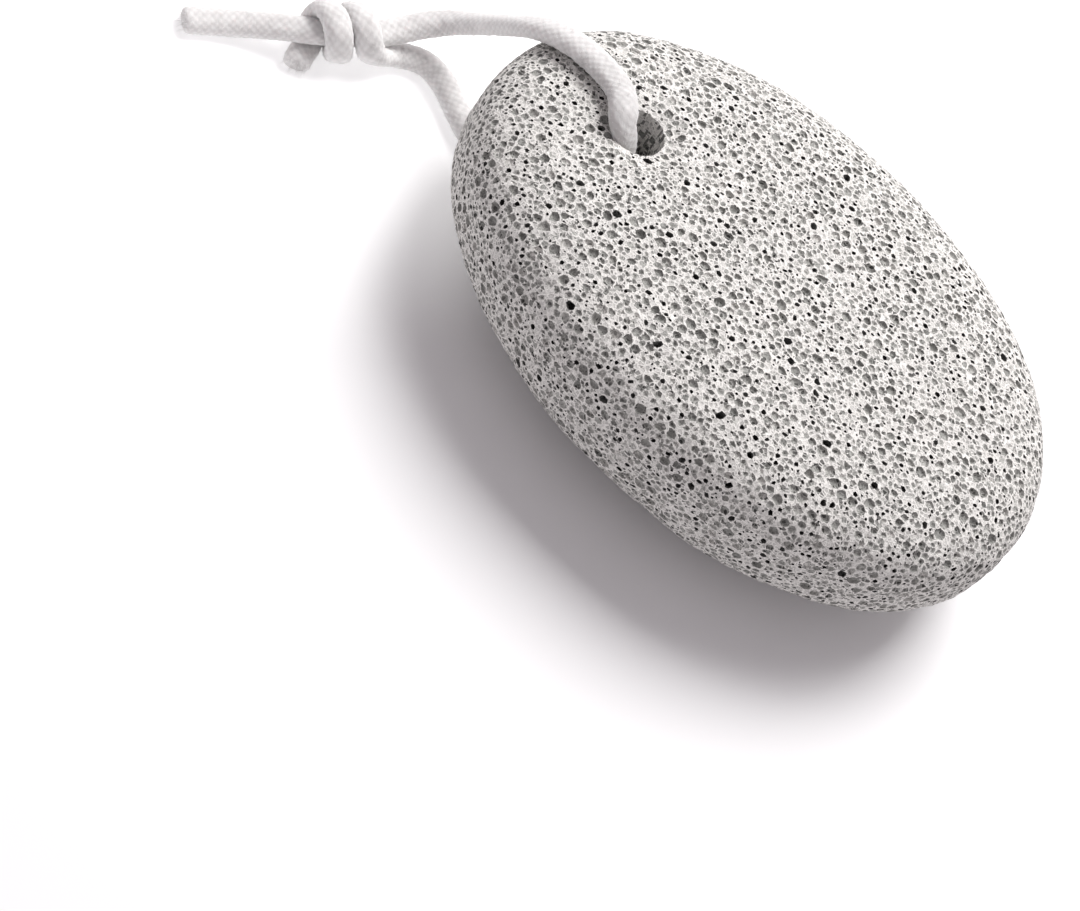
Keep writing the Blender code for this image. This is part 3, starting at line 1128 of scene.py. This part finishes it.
def braid_material():
    """Soft cotton that light spreads inside, paler on the strands' backs and darker in the grooves
    between them as painted shade, and darker near the hole.
    """
    material, tree, shader = new_material("braid_cotton")
    relief = add_node(tree, "ShaderNodeAttribute", {}, attribute_name="relief")
    inputs = {"Scale": YARN_SCALE, "Detail": 3, "Vector": object_place(tree)}
    yarn = add_node(tree, "ShaderNodeTexNoise", inputs)
    feed(tree, shader, {
        "Base Color": ramped(tree, relief.outputs["Fac"], BRAID_TONES),
        "Roughness": 0.9,
        "Specular IOR Level": 0.15,
        "Sheen Weight": 0.25,
        "Subsurface Weight": 0.7,
        "Subsurface Scale": 0.0016,
        "Subsurface Radius": (1.0, 0.93, 0.93),
        "Normal": bumped(tree, yarn.outputs["Fac"], strength=0.7, distance=0.0001),
    })
    return material


def build_cords():
    """The cord's two strands: out of the hole's upper mouth, and out of its lower one."""
    through = [KNOT_START + KNOT_HEADING * KNOT_LENGTH * share for share in (0, 0.33, 0.67, 1)]
    upper = [Vector(p) for p in UPPER_ROUTE] + through + [Vector(p) for p in UPPER_TAIL]
    lower = [Vector(p) for p in LOWER_ROUTE] + knot_wraps() + [Vector(p) for p in LOWER_STUB]
    braid = braid_material()
    fibre = fibre_material()
    for seed, (node, route, hint, mouth, end) in enumerate((
        ("cord_upper", upper, upper_hint, UPPER_EXIT, "bare"),
        ("cord_lower", lower, lower_hint, LOWER_EXIT, "knot"),
    )):
        line = settled_line(route)
        mesh = cord_mesh(node + "_braid", line, hint, seed)
        mesh.materials.append(braid)
        mesh.materials.append(fibre)
        piece = add_piece(node + "_braid", mesh)
        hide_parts(node)
        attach(piece, "root")


# The camera, the light and the white table, which glows softly round the knot: painted light that washes
# out the shadows there.
CAMERA_PLACE = (0.01844, -0.23516, 0.29908)
CAMERA_TURN = (28.211, -20.762, 40.541)  # degrees
LENS = 85
SENSOR_WIDTH = 36
TABLE_HALF = 3
TABLE_COLOUR = (0.93, 0.925, 0.935, 1)
GLOW_MIDDLE = (-0.080, -0.005, 0)
GLOW_REACH = 0.060
GLOW_FULL = 0.6  # where the glow is full, from 0 at its edge to 1 in its middle
# Painted light: the table's emission round the knot, which washes out the shadows there.
PAINTED_GLOW = 0.40
KEY_PLACE = (-0.02, 0.38, 0.60)
KEY_TARGET = (0, 0, 0.01)
KEY_SIZE = 0.40
KEY_POWER = 5.8
KEY_COLOUR = (1, 0.995, 0.985)
SKY_COLOUR = (1.0, 0.938, 0.975, 1)
SKY_STRENGTH = 0.42


def build_camera():
    """The camera that sees the stone from above one side."""
    data = bpy.data.cameras.new("view")
    data.sensor_fit = "HORIZONTAL"
    data.sensor_width = SENSOR_WIDTH
    data.lens = LENS
    data.clip_start = 0.01
    camera = add_piece("view", data)
    camera.location = CAMERA_PLACE
    camera.rotation_euler = [math.radians(angle) for angle in CAMERA_TURN]
    bpy.context.scene.camera = camera
    bpy.context.scene.view_settings.view_transform = "Standard"


def build_key_light():
    """The one lamp, a soft square high behind the stone."""
    data = bpy.data.lights.new("key", "AREA")
    data.shape = "SQUARE"
    data.size = KEY_SIZE
    data.energy = KEY_POWER
    data.color = KEY_COLOUR
    lamp = add_piece("key", data)
    lamp.location = KEY_PLACE
    lamp.rotation_euler = (Vector(KEY_TARGET) - Vector(KEY_PLACE)).to_track_quat("-Z", "Y").to_euler()


def table_material():
    """White, with a painted glow that fades away round its middle and washes out the shadows there."""
    material, tree, shader = new_material("white_table")
    patch = add_node(tree, "ShaderNodeMapping", {
        "Location": GLOW_MIDDLE,
        "Scale": (GLOW_REACH, GLOW_REACH, GLOW_REACH),
        "Vector": object_place(tree),
    }, vector_type="TEXTURE")
    inputs = {"Vector": patch.outputs["Vector"]}
    fade = add_node(tree, "ShaderNodeTexGradient", inputs, gradient_type="SPHERICAL")
    glow = add_node(tree, "ShaderNodeMapRange", {
        "From Max": GLOW_FULL,
        "To Max": PAINTED_GLOW,
        "Value": fade.outputs["Fac"],
    }, interpolation_type="SMOOTHSTEP")
    feed(tree, shader, {
        "Base Color": TABLE_COLOUR,
        "Roughness": 0.6,
        "Specular IOR Level": 0.2,
        "Emission Color": grey(1),
        "Emission Strength": glow.outputs["Result"],
    })
    return material


def build_table():
    """The table that the stone lies on, at height 0."""
    mesh = bpy.data.meshes.new("floor")
    corners = [(x * TABLE_HALF, y * TABLE_HALF, 0) for x, y in ((-1, -1), (1, -1), (1, 1), (-1, 1))]
    mesh.from_pydata(corners, [], [(0, 1, 2, 3)])
    mesh.materials.append(table_material())
    add_piece("floor", mesh)


def build_sky():
    """Even light from all sides."""
    world = bpy.data.worlds.new("studio")
    world.use_nodes = True
    background = world.node_tree.nodes["Background"]
    background.inputs["Color"].default_value = SKY_COLOUR
    background.inputs["Strength"].default_value = SKY_STRENGTH
    bpy.context.scene.world = world


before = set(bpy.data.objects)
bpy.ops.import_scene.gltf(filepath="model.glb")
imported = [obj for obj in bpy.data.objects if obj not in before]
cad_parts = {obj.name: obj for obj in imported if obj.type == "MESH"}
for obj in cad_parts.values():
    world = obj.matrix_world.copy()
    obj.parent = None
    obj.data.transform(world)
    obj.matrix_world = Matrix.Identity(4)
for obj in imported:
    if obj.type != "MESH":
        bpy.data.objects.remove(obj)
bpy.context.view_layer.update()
build_camera()
build_cords()
build_stone()
build_table()
build_sky()
build_key_light()
